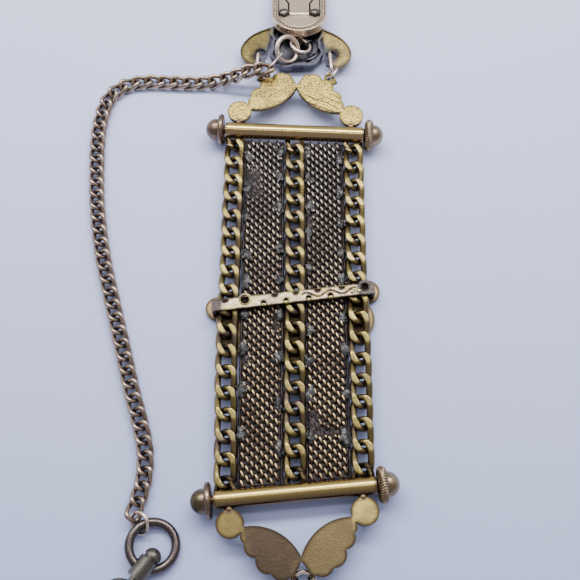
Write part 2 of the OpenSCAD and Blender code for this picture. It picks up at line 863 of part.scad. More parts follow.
module swivel_link() {
    color(rose_brown) lay([-23.65, -38.8, 1.38], [26.8, 33.3, -103.3]) ring(1.65, 0.28);
}

// Hook, drawn along X from the ring: domed head, barrel, stem and a plain closed loop
module swivel_hook() {
    barrel_r = 1.5;
    stem_len = 3.4;
    loop_half = [4.4, 2.5];
    loop_wire = 0.65;
    color(grey_steel) difference() {
        translate(hook_place) rotate([0, 0, hook_way]) {
            rotate([0, 90, 0]) {
                translate([0, 0, -1.6]) cylinder(h = 3.3, r = barrel_r);
                translate([0, 0, -2.2]) cylinder(h = 0.8, r = barrel_r - 0.35);
                cylinder(h = stem_len, r = 0.7);
            }
            translate([-2.1, 0, 0]) intersection() {
                sphere(1.35);
                translate([-2, 0, 0]) cube([4, 4, 4], center = true);
            }
            translate([stem_len + loop_half[0] - 0.3, 0, -0.4]) rotate([0, 0, 90])
                oval_ring(loop_half[0], loop_half[1], loop_wire);
        }
        lay(swivel_place, swivel_turn) ring(swivel_r, swivel_wire_r + gap);
    }
}

module placed() {
    translate([place_x, place_y, 0]) children();
}

placed() upper_bar();
placed() lower_bar();
placed() upper_left_finial();
placed() upper_right_finial();
placed() lower_left_finial();
placed() lower_right_finial();
placed() left_chain();
placed() middle_chain();
placed() right_chain();
placed() left_mesh();
placed() right_mesh();
placed() slide_strip();
placed() slide_front();
placed() ornament();
placed() left_plate_ring();
placed() right_plate_ring();
placed() left_wing_ring();
placed() right_wing_ring();
placed() clip_plate();
placed() clip_tongue();
placed() clip_ring();
placed() chain_ring();
placed() small_ring();
placed() safety_chain();
placed() swivel_link();
placed() swivel_ring();
placed() swivel_hook();
placed() bottom_ring();
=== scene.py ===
import math

import bmesh
import bpy
import numpy as np
from mathutils import Euler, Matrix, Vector, noise


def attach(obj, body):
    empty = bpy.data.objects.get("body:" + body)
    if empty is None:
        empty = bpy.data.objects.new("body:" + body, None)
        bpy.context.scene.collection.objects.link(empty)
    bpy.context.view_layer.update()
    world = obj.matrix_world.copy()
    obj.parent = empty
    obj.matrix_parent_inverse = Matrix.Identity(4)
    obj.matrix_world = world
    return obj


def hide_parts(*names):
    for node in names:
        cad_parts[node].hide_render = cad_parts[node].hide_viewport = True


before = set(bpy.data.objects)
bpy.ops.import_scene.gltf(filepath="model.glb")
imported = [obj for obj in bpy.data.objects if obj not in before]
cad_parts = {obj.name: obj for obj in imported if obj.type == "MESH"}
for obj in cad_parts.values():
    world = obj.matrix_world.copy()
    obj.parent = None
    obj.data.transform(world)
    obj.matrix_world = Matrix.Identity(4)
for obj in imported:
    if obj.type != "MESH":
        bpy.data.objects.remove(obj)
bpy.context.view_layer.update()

# Sizes are in millimetres in the strap's own frame, and PLACE moves them to the fob's frame.
MM = 0.001
PLACE = np.array([10.63, -7.11, 0.0])
rng = np.random.RandomState(7)

# Middles of the bars and the slide with the degrees that they lean, and middle of the ornament
UPPER_BAR = {"x": 0.0, "y": 29.6, "lean": -2.6}
LOWER_BAR = {"x": 0.0, "y": -34.5, "lean": 5.2}
SLIDE = {"x": -0.25, "y": -2.6, "lean": 6.9, "top": 3.5}
ORNAMENT = (0.35, 48.6)

# Heights of the bars and of the strap, and radius of a bar's tube
BAR_Z = 2.85
STRAP_Z = 2.05
TUBE_R = 1.4

# Where a winged plate leaves its tube, how bright its left disc is, and the middles of the burnt
# places at its ends, from the bar's middle
PLATE_EDGE = (1.36, 1.46)
LEFT_DISC = 0.86
BURNT = {"along": 10.2, "out": 1.65}

# Depth of the fine relief of old metal, in metres
RELIEF = 0.00006

# Points of a CAD mesh that lie closer than this are one point, in metres
SAME_POINT = 0.000002


# Small tools: wires, lumps and pieces

def unit(vectors):
    """Vectors of the same directions with length 1."""
    return vectors / np.linalg.norm(vectors, axis=-1, keepdims=True)


def turned_about_z(points, degrees):
    """Points turned counterclockwise as seen from above."""
    a = math.radians(degrees)
    turn = np.array([[math.cos(a), -math.sin(a), 0], [math.sin(a), math.cos(a), 0], [0, 0, 1]])
    return np.asarray(points) @ turn.T


def line_of(x, y, z):
    """Points from x, y and z, each one number or a value for every point."""
    return np.stack(np.broadcast_arrays(x, y, z), axis=1).astype(float)


def ring_line(x, y, r, z, start=0.0, end=360.0, steps=40):
    """A circle, or a part of one, that lies flat."""
    a = np.radians(np.linspace(start, end, steps, endpoint=end - start < 360))
    return line_of(x + r * np.cos(a), y + r * np.sin(a), z)


def grid_faces(rows, sides, closed):
    """Faces of a tube whose points run row by row."""
    faces = []
    for i in range(rows if closed else rows - 1):
        j = (i + 1) % rows
        for k in range(sides):
            m = (k + 1) % sides
            faces.append((i * sides + k, j * sides + k, j * sides + m, i * sides + m))
    return faces


def end_faces(count, sides):
    """Flat ends of an open tube of so many points."""
    return [tuple(range(sides)), tuple(range(count - 1, count - sides - 1, -1))]


def wire(line, radius, sides, closed=True, up=(0, 0, 1), flat=None):
    """A round wire along a line. flat limits its height, as a file does."""
    line = np.asarray(line, float)
    if closed:
        ahead = np.roll(line, -1, 0) - np.roll(line, 1, 0)
    else:
        ahead = np.gradient(line, axis=0)
    ahead = unit(ahead)
    out = unit(np.cross(ahead, up))
    above = np.cross(out, ahead)
    angle = 2 * math.pi * np.arange(sides) / sides
    radius = np.broadcast_to(radius, len(line))[:, None, None]
    ring = np.cos(angle)[None, :, None] * out[:, None] + np.sin(angle)[None, :, None] * above[:, None]
    points = (line[:, None] + radius * ring).reshape(-1, 3)
    if flat is not None:
        points[:, 2] = np.clip(points[:, 2], -flat, flat)
    faces = grid_faces(len(line), sides, closed)
    if not closed:
        faces += end_faces(len(points), sides)
    return points, faces


def lump(centre, size, roughness, seed, detail=2):
    """A rounded lump, pushed in and out by noise."""
    bm = bmesh.new()
    bmesh.ops.create_icosphere(bm, subdivisions=detail, radius=1)
    points = []
    for vertex in bm.verts:
        push = 1 + roughness * noise.noise(vertex.co * 1.7 + Vector((seed, 0, 0)))
        points.append([centre[i] + size[i] * vertex.co[i] * push for i in range(3)])
    faces = [tuple(v.index for v in f.verts) for f in bm.faces]
    bm.free()
    return np.array(points), faces


def joined(parts):
    """Points and faces of several shapes as one."""
    points, faces, start = [], [], 0
    for part_points, part_faces in parts:
        points.append(part_points)
        faces += [tuple(i + start for i in f) for f in part_faces]
        start += len(part_points)
    return np.concatenate(points), faces


def piece(name, shape, body, materials, replaced=(), crease=40):
    """An object of points and faces in the strap's frame, fixed to its body, of named materials."""
    points, faces = shape
    mesh = bpy.data.meshes.new(name)
    mesh.from_pydata(((points + PLACE) * MM).tolist(), [], faces)
    for material in materials:
        mesh.materials.append(MATERIALS[material])
    mesh.shade_smooth()
    mesh.set_sharp_from_angle(angle=math.radians(crease))
    made = bpy.data.objects.new(name, mesh)
    bpy.context.scene.collection.objects.link(made)
    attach(made, body)
    if replaced:
        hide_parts(*replaced)
    return made


def colour_shapes(made, shapes):
    """Gives each of the shapes joined in a piece the next one of its materials."""
    ends = np.cumsum([len(shape[1]) for shape in shapes])
    for k, polygon in enumerate(made.data.polygons):
        polygon.material_index = int(np.searchsorted(ends, k, side="right"))


def solids(source):
    """Points of each separate solid of a CAD node, in millimetres in the strap's frame."""
    bm = bmesh.new()
    bm.from_mesh(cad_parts[source].data)
    bmesh.ops.remove_doubles(bm, verts=bm.verts, dist=SAME_POINT)
    bm.verts.ensure_lookup_table()
    seen = set()
    found = []
    for first in bm.verts:
        if first.index in seen:
            continue
        points, waiting = [], [first]
        seen.add(first.index)
        while waiting:
            vertex = waiting.pop()
            points.append(vertex.co[:])
            for edge in vertex.link_edges:
                other = edge.other_vert(vertex)
                if other.index not in seen:
                    seen.add(other.index)
                    waiting.append(other)
        found.append(np.array(points) / MM - PLACE)
    bm.free()
    return found


# Shader tools

def feed(tree, socket, value):
    """Links an input to an output, or sets its value. Colours come without alpha."""
    if isinstance(value, bpy.types.NodeSocket):
        tree.links.new(value, socket)
    elif socket.type == "RGBA":
        socket.default_value = (*value, 1)
    else:
        socket.default_value = value


def node(tree, kind, inputs=None, **settings):
    """A new node with its settings made and its inputs fed."""
    made = tree.nodes.new(kind)
    for key, value in settings.items():
        setattr(made, key, value)
    for key, value in (inputs or {}).items():
        feed(tree, made.inputs[key], value)
    return made


def mixed(tree, factor, a, b, blend="MIX"):
    """Colour between a and b by a factor."""
    return node(tree, "ShaderNodeMix", {0: factor, 6: a, 7: b}, data_type="RGBA",
                blend_type=blend, clamp_factor=True).outputs[2]


def maths(tree, operation, a, b=0.0, clamp=False):
    """Result of one sum on two values."""
    return node(tree, "ShaderNodeMath", {0: a, 1: b}, operation=operation, use_clamp=clamp).outputs[0]


def times(tree, value, *others):
    """Product of two or more values."""
    for other in others:
        value = maths(tree, "MULTIPLY", value, other)
    return value


def opposite(tree, mask):
    """Mask that is full where the given one is empty."""
    return maths(tree, "SUBTRACT", 1.0, mask)


def distance(tree, x, y):
    """Distance to a place that lies x and y away."""
    return maths(tree, "SQRT", maths(tree, "ADD", times(tree, x, x), times(tree, y, y)))


def ranged(tree, value, low, high, to_low=0.0, to_high=1.0):
    """Value between low and high, spread from to_low to to_high and held there."""
    return node(tree, "ShaderNodeMapRange", {
        "Value": value, "From Min": low, "From Max": high, "To Min": to_low, "To Max": to_high,
    }).outputs["Result"]


def own_place(tree):
    """Place in the fob's own frame, in metres."""
    return node(tree, "ShaderNodeTexCoord").outputs["Object"]


def split(tree, vector):
    """X, Y and Z of a vector."""
    return node(tree, "ShaderNodeSeparateXYZ", {0: vector}).outputs


def clouds(tree, scale, detail, roughness=0.5):
    """Cloudy noise over a piece."""
    return node(tree, "ShaderNodeTexNoise", {
        "Vector": own_place(tree), "Scale": scale, "Detail": detail, "Roughness": roughness,
    }).outputs["Fac"]


def group(name, inputs, outputs):
    """A node group with named sockets, what it is given and what it gives."""
    tree = bpy.data.node_groups.new(name, "ShaderNodeTree")
    for label, default in inputs.items():
        kind = "NodeSocketColor" if isinstance(default, tuple) else "NodeSocketFloat"
        socket = tree.interface.new_socket(label, in_out="INPUT", socket_type=kind)
        socket.default_value = default
    for label in outputs:
        kind = "NodeSocketColor" if label == "Color" else "NodeSocketFloat"
        tree.interface.new_socket(label, in_out="OUTPUT", socket_type=kind)
    return tree, tree.nodes.new("NodeGroupInput").outputs, tree.nodes.new("NodeGroupOutput").inputs


def aged_metal_group():
    """Colour, roughness and height of old metal: patches, speckles, scratches, dirt with painted shade in
    hollows, and a painted dark reflection on rounded edges.
    """
    grey = (0.5, 0.5, 0.5, 1)
    tree, given, result = group("aged metal", {
        "Clean": grey, "Worn": grey, "Dirt": grey, "Patch Scale": 400.0, "Patch Amount": 0.5,
        "Speckle Scale": 4000.0, "Speckle Amount": 0.3, "Scratch Amount": 0.2, "Dirt Reach": 0.0008,
        "Dirt Amount": 0.8, "Edge Reach": 0.0003, "Edge Amount": 0.0, "Smooth": 0.25, "Rough": 0.5,
    }, ["Color", "Roughness", "Height", "Dirt And Shade Mask"])
    cloud = clouds(tree, given["Patch Scale"], 4.0, 0.6)
    patches = times(tree, ranged(tree, cloud, 0.42, 0.62), given["Patch Amount"])
    grain = clouds(tree, given["Speckle Scale"], 2.0, 0.7)
    speckle = times(tree, ranged(tree, grain, 0.53, 0.59), given["Speckle Amount"])
    stretched = node(tree, "ShaderNodeMapping", {
        "Vector": own_place(tree), "Rotation": (0.0, 0.0, 0.4), "Scale": (500.0, 7000.0, 900.0)})
    lines = node(tree, "ShaderNodeTexNoise", {
        "Vector": stretched.outputs[0], "Scale": 1.0, "Detail": 1.0})
    scratches = times(tree, ranged(tree, lines.outputs["Fac"], 0.58, 0.65), given["Scratch Amount"])
    # Ambient occlusion darkens hollows, as dirt together with painted shade, and inside ambient occlusion
    # darkens rounded edges as a painted dark reflection
    hollow_and_edge_darkening = []
    for kind, inside, open_light, shut_light in (("Dirt", False, 0.85, 0.25), ("Edge", True, 0.95, 0.6)):
        light = node(tree, "ShaderNodeAmbientOcclusion", {"Distance": given[kind + " Reach"]},
                     samples=6, inside=inside).outputs["AO"]
        hollow_and_edge_darkening.append(times(tree, ranged(tree, light, open_light, shut_light), given[kind + " Amount"]))
    dirt_and_shade = maths(tree, "MAXIMUM", *hollow_and_edge_darkening)
    worn = maths(tree, "MAXIMUM", patches, speckle)
    colour = mixed(tree, worn, given["Clean"], given["Worn"])
    for mask in (scratches, dirt_and_shade):
        colour = mixed(tree, mask, colour, given["Dirt"])
    wear = maths(tree, "ADD", maths(tree, "MAXIMUM", worn, scratches), dirt_and_shade, clamp=True)
    spread = maths(tree, "SUBTRACT", given["Rough"], given["Smooth"])
    rough = maths(tree, "ADD", times(tree, wear, spread), given["Smooth"])
    height = maths(tree, "SUBTRACT", maths(tree, "ADD", grain, times(tree, cloud, 0.6)), scratches)
    for socket, value in zip(result, (colour, rough, height, dirt_and_shade)):
        feed(tree, socket, value)
    return tree


AGED = aged_metal_group()


def facing_group():
    """How far a surface faces up or towards the clip, and its height in metres."""
    tree, _, result = group("facing", {}, ["Up", "Along", "Height"])
    normal = split(tree, node(tree, "ShaderNodeTexCoord").outputs["Normal"])
    for socket, value in zip(result, (normal["Z"], normal["Y"], split(tree, own_place(tree))["Z"])):
        feed(tree, socket, value)
    return tree


FACING = facing_group()


def zones_group():
    """Millimetres along and across a bar or slide that lies at a lean, from its middle."""
    tree, given, result = group(
        "zones", {"Middle X": 0.0, "Middle Y": 0.0, "Lean": 0.0}, ["Along", "Across"])
    place = split(tree, own_place(tree))
    x, y = (maths(tree, "SUBTRACT", times(tree, place[axis], 1 / MM), given["Middle " + axis])
            for axis in "XY")
    c, s = maths(tree, "COSINE", given["Lean"]), maths(tree, "SINE", given["Lean"])
    feed(tree, result["Along"], maths(tree, "ADD", times(tree, x, c), times(tree, y, s)))
    feed(tree, result["Across"], maths(tree, "SUBTRACT", times(tree, y, c), times(tree, x, s)))
    return tree


ZONES = zones_group()


def start_material(name):
    """A material with an empty node tree."""
    material = bpy.data.materials.new(name)
    material.use_nodes = True
    tree = material.node_tree
    tree.nodes.clear()
    return material, tree


def use_group(tree, made, values=None):
    """What a node group gives for some values."""
    return node(tree, "ShaderNodeGroup", values, node_tree=made).outputs


def aged_metal(tree, clean, worn, dirt_and_shade, **look):
    """What the aged metal group gives for three colours and the look's other values."""
    values = {key.replace("_", " ").title(): value for key, value in look.items()}
    return use_group(tree, AGED, {"Clean": clean, "Worn": worn, "Dirt": dirt_and_shade, **values})


def zones_of(tree, lie):
    """Places along and across a bar or the slide."""
    middle_x, middle_y = lie["x"] + PLACE[0], lie["y"] + PLACE[1]
    return use_group(tree, ZONES, {
        "Middle X": middle_x, "Middle Y": middle_y, "Lean": math.radians(lie["lean"])})


def finish_metal(tree, colour, roughness, height, bump, metallic=1.0):
    """The metal's shader, with its height as fine relief."""
    relief = node(tree, "ShaderNodeBump", {"Height": height, "Strength": bump, "Distance": RELIEF})
    shader = node(tree, "ShaderNodeBsdfPrincipled", {
        "Base Color": colour, "Roughness": roughness, "Metallic": metallic, "Normal": relief.outputs[0]})
    node(tree, "ShaderNodeOutputMaterial", {"Surface": shader.outputs[0]})


def filed_patches(tree):
    """Where a file has reached the wires."""
    return ranged(tree, clouds(tree, 260.0, 2.0), 0.36, 0.56, 0.3, 1.0)


def metal(name, clean, worn, dirt_and_shade, bump=0.3, metallic=1.0, filed=None, **look):
    """Old metal. filed is the colour of what faces straight up."""
    material, tree = start_material(name)
    aged = aged_metal(tree, clean, worn, dirt_and_shade, **look)
    colour = aged["Color"]
    if filed:
        up = ranged(tree, use_group(tree, FACING)["Up"], 0.93, 0.985)
        mask = times(tree, up, opposite(tree, aged["Dirt And Shade Mask"]), filed_patches(tree))
        colour = mixed(tree, mask, colour, filed)
    finish_metal(tree, colour, aged["Roughness"], aged["Height"], bump, metallic)
    return material


def weave_material():
    """Browned wire of the woven bands, filed bright on top with a painted highlight, cloudy, and black
    with painted shade where it lies low, as where it is crushed.
    The filed wire is golden at the foot of the strap and greyer at the clip's end."""
    material, tree = start_material("woven wire brass")
    far = ranged(tree, split(tree, own_place(tree))["Y"], -0.024, 0.012)
    bright = mixed(tree, far, (0.46, 0.335, 0.165), (0.25, 0.22, 0.180))
    clean = mixed(tree, far, (0.120, 0.075, 0.053), (0.068, 0.054, 0.052))
    worn = mixed(tree, far, (0.072, 0.047, 0.038), (0.045, 0.036, 0.036))
    black = (0.013, 0.011, 0.013)
    aged = aged_metal(tree, clean, worn, (0.022, 0.016, 0.014), patch_scale=200.0, speckle_amount=0.15,
                      dirt_reach=0.0003, dirt_amount=0.5, smooth=0.26, rough=0.44)
    facing = use_group(tree, FACING)
    # Bright tops of the wires: worn brass together with a painted highlight
    top = ranged(tree, facing["Height"], (STRAP_Z + 0.18) * MM, (STRAP_Z + 0.34) * MM)
    dull = ranged(tree, clouds(tree, 120.0, 3.0), 0.50, 0.66, 1.0, 0.15)
    filed = times(tree, ranged(tree, facing["Up"], 0.88, 1.0), opposite(tree, aged["Dirt And Shade Mask"]), top,
                  filed_patches(tree), dull)
    colour = mixed(tree, filed, aged["Color"], bright)
    # Painted shade: wire that lies low in the weave turns near black
    low_wire_shade = ranged(tree, facing["Height"], (STRAP_Z + 0.24) * MM, (STRAP_Z + 0.14) * MM)
    colour = mixed(tree, low_wire_shade, colour, black)
    finish_metal(tree, colour, aged["Roughness"], aged["Height"], 0.3)
    return material


def bar_metal(name, bar, side, wing, tube, loop, flank_shade, disc, right_disc, brown, stained, tube_haze,
              right_scratches, **look):
    """Brass of a bar. Its winged plate, tube and end loops each have clean, worn and dirt.
    side is the plate's side of the tube, and flank_shade tints the tube's two flanks with painted
    shade and some brown patina below. disc is the brass of the round discs and right_disc how bright
    the right one is in it. brown is the tarnish of the left wing with painted shadow of the chain over
    it, and stained its least and most, tube_haze how much rougher the tube is than the wings, and
    right_scratches how strong the cuts on the right wing are."""
    shade, burn, cut = (0.06, 0.042, 0.02), (0.13, 0.085, 0.06), (0.06, 0.040, 0.018)
    material, tree = start_material(name)
    zones = zones_of(tree, bar)
    along, out = zones["Along"], times(tree, zones["Across"], float(side))
    from_middle = maths(tree, "ABSOLUTE", along)
    cloud = clouds(tree, 140.0, 3.0)
    on_wing = ranged(tree, out, *PLATE_EDGE)
    on_loop = ranged(tree, out, *(-edge for edge in PLATE_EDGE))
    on_tube = maths(tree, "SUBTRACT", opposite(tree, on_wing), on_loop)
    on_disc = times(tree, on_wing, ranged(tree, from_middle, 8.0, 8.3))
    off_disc = maths(tree, "SUBTRACT", on_wing, on_disc)
    clean, worn, dirt_and_shade = (mixed(tree, on_loop, mixed(tree, on_wing, tube[k], wing[k]), loop[k])
                         for k in range(3))
    discs = mixed(tree, ranged(tree, along, -1.0, 1.0), [LEFT_DISC * v for v in disc],
                  [right_disc * v for v in disc])
    clean = mixed(tree, on_disc, clean, discs)
    # The left wing is browned: tarnish together with painted shadow of the chain that lies over it
    on_left = ranged(tree, along, 0.6, -0.2)
    stain_and_shadow = times(tree, on_left, ranged(tree, cloud, 0.44, 0.56, *stained), off_disc)
    clean, worn = (mixed(tree, stain_and_shadow, colour, brown) for colour in (clean, worn))
    look["speckle_amount"] = times(tree, on_wing, look["speckle_amount"])
    for key in ("smooth", "rough"):
        look[key] = maths(tree, "SUBTRACT", look[key] + tube_haze, times(tree, on_wing, tube_haze))
    aged = aged_metal(tree, clean, worn, dirt_and_shade, **look)

    facing = use_group(tree, FACING)
    # The tube's near flank and top edge take flank_shade: painted shade, with some brown patina below
    lower = times(tree, ranged(tree, facing["Along"], -0.05, -0.7), on_tube)
    upper = times(tree, ranged(tree, facing["Along"], 0.72, 0.95), on_tube)
    colour = mixed(tree, maths(tree, "MAXIMUM", lower, upper), aged["Color"], flank_shade)
    wall = times(tree, ranged(tree, facing["Up"], 0.75, 0.4, 0.0, 0.85), on_wing)
    colour = mixed(tree, wall, colour, shade)
    aside = maths(tree, "SUBTRACT", from_middle, BURNT["along"])
    away = maths(tree, "SUBTRACT", out, BURNT["out"])
    burnt = maths(tree, "ADD", distance(tree, aside, away), times(tree, cloud, 0.9))
    colour = mixed(tree, ranged(tree, burnt, 1.35, 0.95, 0.0, 0.85), colour, burn)
    slope = maths(tree, "ADD", out, times(tree, along, 0.45))
    wavy = node(tree, "ShaderNodeTexWave", {
        "Vector": node(tree, "ShaderNodeCombineXYZ", {"X": along, "Y": slope}).outputs["Vector"],
        "Scale": 0.24, "Distortion": 4.0, "Detail": 2.0, "Detail Scale": 0.8}, bands_direction="Y")
    marked = times(tree, off_disc, ranged(tree, along, 1.0, 2.0), ranged(tree, out, 8.8, 7.6))
    cuts = times(tree, ranged(tree, wavy.outputs["Fac"], 0.90, 0.965), marked, right_scratches)
    colour = mixed(tree, cuts, colour, cut)
    height = times(tree, aged["Height"], ranged(tree, on_wing, 0.0, 1.0, 0.25, 1.0))
    finish_metal(tree, colour, aged["Roughness"], height, 0.4)
    return material


# Materials

BROWN = (0.040, 0.026, 0.018)
SOOT = (0.02, 0.014, 0.010)
ROSE = ((0.28, 0.195, 0.135), (0.15, 0.105, 0.08))


def make_materials():
    """Every metal of the fob, by the name that the pieces use."""
    loop = ((0.25, 0.185, 0.08), (0.17, 0.12, 0.07), SOOT)
    tube = ((0.57, 0.425, 0.13), (0.42, 0.29, 0.12), (0.07, 0.045, 0.03))
    return {
        "upper_bar": bar_metal(
            "pale speckled bar brass", UPPER_BAR, side=1, tube=tube, loop=loop, flank_shade=(0.42, 0.29, 0.16),
            wing=((0.68, 0.52, 0.135), (0.10, 0.066, 0.020), (0.07, 0.045, 0.02)),
            disc=(0.66, 0.50, 0.13), right_disc=0.8, brown=(0.22, 0.15, 0.06), stained=(0.0, 0.6),
            tube_haze=-0.05, right_scratches=1.0, patch_scale=260.0, patch_amount=0.1,
            speckle_scale=2600.0, speckle_amount=0.95, scratch_amount=0.12, dirt_reach=0.0010,
            dirt_amount=0.9, edge_reach=0.0005, edge_amount=0.8, smooth=0.22, rough=0.24),
        # The lower bar's colours are darker than the upper bar's: olive tarnish together with painted
        # shade
        "lower_bar": bar_metal(
            "olive and shaded bar brass", LOWER_BAR, side=-1, tube=tube, loop=loop, flank_shade=(0.20, 0.132, 0.078),
            wing=((0.19, 0.145, 0.068), (0.13, 0.09, 0.05), (0.04, 0.028, 0.018)),
            disc=(0.29, 0.225, 0.072), right_disc=1.8, brown=(0.086, 0.062, 0.042), stained=(0.25, 1.0),
            tube_haze=-0.14, right_scratches=0.0, patch_scale=230.0, patch_amount=0.6,
            speckle_scale=2300.0, speckle_amount=0.25, scratch_amount=0.08, dirt_reach=0.0010,
            dirt_amount=0.9, edge_reach=0.0007, edge_amount=1.0, smooth=0.32, rough=0.48),
        "finial": metal("rose brown finial brass", *ROSE, BROWN, patch_scale=300.0, patch_amount=0.7,
                        speckle_amount=0.2, dirt_reach=0.0012, smooth=0.2, rough=0.40),
        "lower_finial": lower_finial_material(),
        "rope": metal("rope collar brass", (0.32, 0.24, 0.145), (0.19, 0.135, 0.085), SOOT,
                      patch_scale=300.0, patch_amount=0.6, dirt_reach=0.0005, dirt_amount=1.0,
                      smooth=0.22, rough=0.42),
        "links": metal("strap link brass", (0.26, 0.20, 0.073), (0.125, 0.090, 0.074),
                       (0.052, 0.040, 0.038), filed=(0.195, 0.157, 0.047), patch_scale=200.0,
                       patch_amount=0.9, speckle_amount=0.2, dirt_reach=0.0016, dirt_amount=1.0,
                       smooth=0.24, rough=0.44),
        "weave": weave_material(),
        "solder": metal("dark solder", (0.088, 0.084, 0.082), (0.028, 0.027, 0.029), (0.012, 0.012, 0.014),
                        patch_scale=700.0, patch_amount=0.8, speckle_amount=0.9, metallic=0.7, bump=1.0,
                        smooth=0.3, rough=0.6),
        # Tarnish together with painted shade: the band's edges and the dark sheet within its weave
        "tarnish": metal("band edge tarnish and painted shade", (0.048, 0.034, 0.031), (0.022, 0.017, 0.017),
                         (0.008, 0.007, 0.007), patch_scale=600.0, patch_amount=0.8,
                         speckle_amount=0.7, metallic=0.6, bump=0.8, smooth=0.4, rough=0.65),
        "strip": slide_material(),
        "slide": metal("slide front brass", (0.34, 0.26, 0.12), (0.16, 0.115, 0.06), BROWN,
                       patch_scale=280.0, patch_amount=0.7, dirt_reach=0.0016, dirt_amount=1.0,
                       edge_reach=0.0007, edge_amount=0.9, smooth=0.28, rough=0.46),
        "ornament": ornament_material(),
        "ring": metal("browned ring brass", (0.88, 0.72, 0.59), (0.46, 0.35, 0.28), BROWN,
                      patch_scale=350.0, patch_amount=0.6, speckle_amount=0.25, dirt_reach=0.0005,
                      dirt_amount=0.6, smooth=0.2, rough=0.38),
        "swivel": metal("grey brown swivel brass", (0.13, 0.105, 0.095), (0.07, 0.055, 0.05),
                        (0.02, 0.015, 0.012), patch_scale=300.0, patch_amount=0.7,
                        smooth=0.2, rough=0.42),
        "small_links": metal("browned chain brass", (0.46, 0.35, 0.27), (0.17, 0.12, 0.090),
                             (0.015, 0.011, 0.010), patch_scale=300.0, patch_amount=0.6,
                             speckle_amount=0.25, dirt_reach=0.0010, dirt_amount=0.9,
                             smooth=0.2, rough=0.40),
        "clip": metal("beige clip gilt", (0.90, 0.71, 0.52), (0.63, 0.48, 0.34), (0.05, 0.033, 0.02),
                      patch_scale=260.0, speckle_amount=0.25, scratch_amount=0.4, dirt_reach=0.0010,
                      dirt_amount=1.0, smooth=0.24, rough=0.42),
        "pin": metal("bright hinge gilt", (0.78, 0.64, 0.46), (0.58, 0.45, 0.31), (0.08, 0.05, 0.03),
                     dirt_reach=0.0004, smooth=0.3, rough=0.42),
        "dome": metal("olive dome brass", (0.48, 0.42, 0.16), (0.30, 0.25, 0.10), BROWN,
                      dirt_reach=0.0005, smooth=0.24, rough=0.42),
        # Painted shadow, for holes, notches, gaps and grooves
        "shadow": metal("painted shadow groove", (0.016, 0.012, 0.009), (0.009, 0.007, 0.006),
                        (0.005, 0.004, 0.004), smooth=0.45, rough=0.65),
        "hook": metal("dull olive steel", (0.17, 0.155, 0.13), (0.07, 0.062, 0.05), (0.015, 0.014, 0.013),
                      patch_scale=350.0, patch_amount=0.6, smooth=0.3, rough=0.5),
    }


def lower_finial_material():
    """Rose-brown collar with an olive ball."""
    material, tree = start_material("olive finial brass")
    ball = ranged(tree, zones_of(tree, LOWER_BAR)["Along"], -14.0, -14.2)
    aged = aged_metal(tree, mixed(tree, ball, ROSE[0], (0.17, 0.135, 0.07)),
                      mixed(tree, ball, ROSE[1], (0.07, 0.055, 0.035)), BROWN, patch_scale=300.0,
                      patch_amount=0.7, dirt_reach=0.0012, smooth=0.2, rough=0.40)
    finish_metal(tree, aged["Color"], aged["Roughness"], aged["Height"], 0.3)
    return material


def slide_material():
    """Pinkish cream of the slide's strip, dark at both ends and yellow in patches."""
    yellow, dark, dark_from, dark_to = (0.33, 0.27, 0.105), (0.050, 0.041, 0.038), 10.9, 11.6
    material, tree = start_material("cream slide brass")
    aged = aged_metal(tree, (0.43, 0.33, 0.235), (0.16, 0.115, 0.072), SOOT, patch_scale=420.0,
                      speckle_scale=2600.0, speckle_amount=0.7, scratch_amount=0.3, dirt_reach=0.0006,
                      dirt_amount=0.9, edge_reach=0.0002, edge_amount=0.7, smooth=0.28, rough=0.45)
    cloud = clouds(tree, 520.0, 2.0)
    colour = mixed(tree, ranged(tree, cloud, 0.50, 0.62, 0.0, 0.7), aged["Color"], yellow)
    reach = maths(tree, "ADD", zones_of(tree, SLIDE)["Along"], times(tree, cloud, 1.2))
    left, right = ranged(tree, reach, -dark_from, -dark_to), ranged(tree, reach, dark_from, dark_to)
    colour = mixed(tree, maths(tree, "MAXIMUM", left, right), colour, dark)
    finish_metal(tree, colour, aged["Roughness"], aged["Height"], 0.5)
    return material


